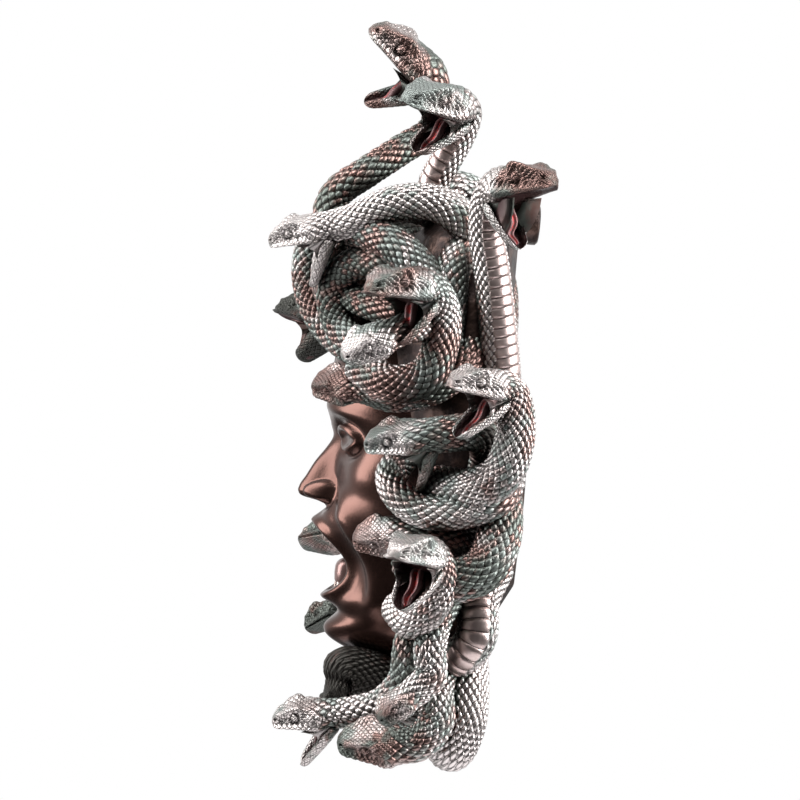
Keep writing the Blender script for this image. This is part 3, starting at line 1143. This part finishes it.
def snake_finish():
    """Bronze, brown on the whole, rubbed to silver in broad patches where it lies open, with a
    grey-green patina in blotches where it is rubbed less, each scale a little different, almost
    black between the scales and deep between the snakes, and paler on the belly plates; dark
    red-brown inside the mouths, with a tongue cleft in red."""
    n = Nodes("snake_bronze")
    scales, shut, chance = n.scales()
    small, small_gap, _ = n.scales(HEAD_FINENESS)
    head = n.math("MINIMUM", n.value("head"), 1.0)
    belly, lining, shade = n.value("belly"), n.value("lining"), n.value("shade")
    clear = n.value("open")
    speckle = n.noise(SPECKLE, 3.0, 0.7)
    grain = n.noise(GRAIN, 4.0, 0.65)
    differ = n.times(n.math("SUBTRACT", chance, 0.5), n.rest(n.math("MAXIMUM", head, belly)))
    place = n.math("ADD", n.noise(RUBBED_PATCH), n.times(n.math("SUBTRACT", clear, 1.0), 0.6))
    place = n.math("ADD", place, n.math("ADD", n.times(differ, 0.14), n.times(head, 0.06)))
    rub = n.math("ADD", n.times(n.between(place, *RUBBED), 0.85), n.times(clear, 0.12))
    rub = n.times(rub, n.math("ADD", 0.75, n.times(speckle, 0.5)), clamp=True)
    green = n.math("ADD", n.noise(PATINA_PATCH, 4.0, 0.62), n.times(differ, 0.2))
    green = n.between(n.math("ADD", green, n.times(n.rest(clear), 0.2)), *GREENED)
    colour = n.blend(rub, BROWN, SILVER)
    colour = n.blend(n.times(belly, 0.7), colour, COPPER)
    cover = n.times(green, n.rest(n.times(belly, 0.8)), PATINA_COVER)
    colour = n.blend(cover, colour, PATINA)
    worn = n.math("ADD", n.times(shade, 1.2), n.times(n.math("SUBTRACT", grain, 0.5), 0.3))
    low = n.times(n.rest(n.between(worn, 0.0, 0.6)), 0.8)
    dark = n.mixed(head, shut, n.math("MAXIMUM", low, n.times(small_gap, 0.7)))
    dark = n.math("MAXIMUM", dark, n.rest(n.between(clear, -0.05, 0.65)))
    colour = n.blend(n.times(dark, DARKEST), colour, GROOVE)
    tongue = n.math("SUBTRACT", n.value("head"), 1.0, clamp=True)
    blood = n.times(shade, n.between(grain, 0.38, 0.6))
    inner = n.blend(tongue, MOUTH_DARK, n.blend(blood, TONGUE, RED))
    colour = n.blend(lining, colour, inner)
    n.put(n.shader.inputs["Base Color"], colour)
    n.put(n.shader.inputs["Metallic"], n.math("SUBTRACT", 0.95, n.times(lining, 0.45)))
    dull = n.math("ADD", 0.27, n.times(cover, 0.2))
    n.put(n.shader.inputs["Roughness"], n.math("ADD", dull, n.times(speckle, 0.16)))
    relief = n.mixed(head, scales, n.times(small, n.rest(lining), 0.8))
    relief = n.math("ADD", relief, n.times(grain, 0.1))
    n.relief(relief, FINE_RELIEF)
    return n.material


def face_finish():
    """Smooth dark bronze with a coppery bloom, darker inside the mouth and under the chin."""
    n = Nodes("face_bronze")
    bloom = n.between(n.noise(0.03), 0.35, 0.7)
    colour = n.blend(n.times(bloom, 0.45), FACE_BRONZE, FACE_DARK)
    hidden = n.rest(n.between(n.value("open"), 0.0, 0.8))
    colour = n.blend(n.math("MAXIMUM", n.times(n.value("head"), 0.7), hidden), colour, GROOVE)
    colour = n.blend(n.value("lining"), colour, MOUTH_DARK)
    n.put(n.shader.inputs["Base Color"], colour)
    n.put(n.shader.inputs["Metallic"], 0.9)
    n.put(n.shader.inputs["Roughness"], n.math("ADD", 0.2, n.times(n.noise(0.004), 0.08)))
    n.relief(n.noise(0.0012, 2.0), 0.00003)
    return n.material


def tooth_finish():
    """Pale bronze on the teeth, darker on the tongue."""
    n = Nodes("tooth_bronze")
    n.put(n.shader.inputs["Base Color"], n.blend(n.value("shade"), TOOTH, FACE_TONGUE))
    n.put(n.shader.inputs["Metallic"], 0.6)
    n.put(n.shader.inputs["Roughness"], 0.28)
    return n.material


def head_finish():
    """Rough dark bronze, browner in patches where it lies open."""
    n = Nodes("ground_bronze")
    patchy = n.times(n.between(n.noise(0.01), 0.4, 0.7), n.between(n.value("open"), 0.2, 0.9))
    colour = n.blend(patchy, GROOVE, GROUND_BROWN)
    n.put(n.shader.inputs["Base Color"], colour)
    n.put(n.shader.inputs["Metallic"], 0.85)
    n.put(n.shader.inputs["Roughness"], 0.4)
    n.relief(n.noise(0.004), 0.0006)
    return n.material


def floor_finish():
    n = Nodes("pale_floor")
    n.put(n.shader.inputs["Base Color"], PALE_FLOOR)
    n.put(n.shader.inputs["Roughness"], 0.8)
    return n.material


# The casting
FAR_SIDE = {name: far_side(NEAR[name], by) for name, by in MIRRORED.items()}
BALLS = np.vstack([balls(s) for s in (*NEAR.values(), *REST.values(), *FAR_SIDE.values())])
scaly = snake_finish()
skin = face_finish()
ground = head_finish()
mask = [head_mass(ground), face(skin), teeth(tooth_finish())]
for name, s in NEAR.items():
    mask.append(snake("snake_" + name, s, NEAR_STEP, scaly))
for name, s in REST.items():
    mask.append(snake("snake_" + name, s, NEAR_STEP if name in SEEN_FAR else FAR_STEP, scaly))
for name, s in FAR_SIDE.items():
    mask.append(snake("snake_far_side_" + name, s, FAR_STEP, scaly))
for obj in mask:
    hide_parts("gorgon_mask")


# The studio, in metres and watts
FLOOR_RADIUS = 0.6
FLOOR_HEIGHT = -0.8
FLOOR_SIDES = 96
LIT_POINT = (0, -0.05, -0.07)
LIGHTS = {
    "window_left": dict(place=(0.1, -1.0, 0.25), size=(0.5, 1.2), power=16),
    "window_right": dict(place=(0.3, 0.9, 0.25), size=(0.6, 1.2), power=27),
    "top": dict(place=(0.7, -0.3, 0.95), size=(0.5, 0.5), power=14),
}
# How bright the sky is by the X and the Z of the direction: from where to where it changes, and
# its share of white at either end
SKY = {0: (-0.3, 0.45, 1.0, 0.08), 2: (-0.55, -0.2, 0.12, 1.0)}


def floor():
    """A pale disc well below the mask, which hangs on a wall that isn't shown."""
    a = np.linspace(0, 2 * math.pi, FLOOR_SIDES, endpoint=False)
    mesh = bpy.data.meshes.new("floor")
    rim = np.stack([FLOOR_RADIUS * np.cos(a), FLOOR_RADIUS * np.sin(a), 0 * a + FLOOR_HEIGHT], 1)
    mesh.from_pydata(rim.tolist(), [], [list(range(FLOOR_SIDES))])
    mesh.materials.append(floor_finish())
    obj = bpy.data.objects.new("floor", mesh)
    bpy.context.collection.objects.link(obj)


def light(name, place, size, power):
    lamp = bpy.data.lights.new(name, "AREA")
    lamp.shape = "RECTANGLE"
    lamp.size, lamp.size_y = size
    lamp.energy = power
    obj = bpy.data.objects.new(name, lamp)
    bpy.context.collection.objects.link(obj)
    back = unit(np.array(place) - np.array(LIT_POINT))
    right = unit(np.cross((0, 0, 1), back))
    aim = np.eye(4)
    aim[:3] = np.column_stack([right, np.cross(back, right), back, place])
    obj.matrix_world = Matrix(aim.tolist())


def sky():
    """White behind the mask and at both sides, darker towards the camera and below, so that the
    bronze shows dark with bright rims."""
    world = bpy.data.worlds.new("white_room")
    bpy.context.scene.world = world
    world.use_nodes = True
    tree = world.node_tree
    place = tree.nodes.new("ShaderNodeTexCoord")
    split = tree.nodes.new("ShaderNodeSeparateXYZ")
    tree.links.new(place.outputs["Generated"], split.inputs[0])
    both = tree.nodes.new("ShaderNodeMath")
    both.operation = "MULTIPLY"
    for k, (axis, row) in enumerate(SKY.items()):
        ramp = tree.nodes.new("ShaderNodeMapRange")
        ramp.interpolation_type = "SMOOTHSTEP"
        tree.links.new(split.outputs[axis], ramp.inputs[0])
        for n, v in enumerate(row, 1):
            ramp.inputs[n].default_value = v
        tree.links.new(ramp.outputs[0], both.inputs[k])
    tree.links.new(both.outputs[0], tree.nodes["Background"].inputs["Strength"])
    tree.nodes["Background"].inputs["Color"].default_value = (1, 1, 1, 1)


CAMERA_AWAY = 0.9
CAMERA_AIM = (-0.055, -0.076)  # Y and Z that the middle of the picture looks at
CAMERA_ROLL = math.radians(4.5)
PICTURE_WIDTH = 0.3539  # metres across the picture, at the mask's middle plane
SENSOR = 36


def camera():
    data = bpy.data.cameras.new("camera")
    data.sensor_width = SENSOR
    data.lens = SENSOR * CAMERA_AWAY / PICTURE_WIDTH
    obj = bpy.data.objects.new("camera", data)
    bpy.context.collection.objects.link(obj)
    c, k = math.cos(CAMERA_ROLL), math.sin(CAMERA_ROLL)
    obj.matrix_world = Matrix(
        ((0, 0, 1, CAMERA_AWAY), (c, -k, 0, CAMERA_AIM[0]), (k, c, 0, CAMERA_AIM[1]), (0, 0, 0, 1))
    )
    bpy.context.scene.camera = obj


floor()
sky()
for name, values in LIGHTS.items():
    light(name, **values)
camera()
bpy.context.scene.view_settings.view_transform = "Standard"
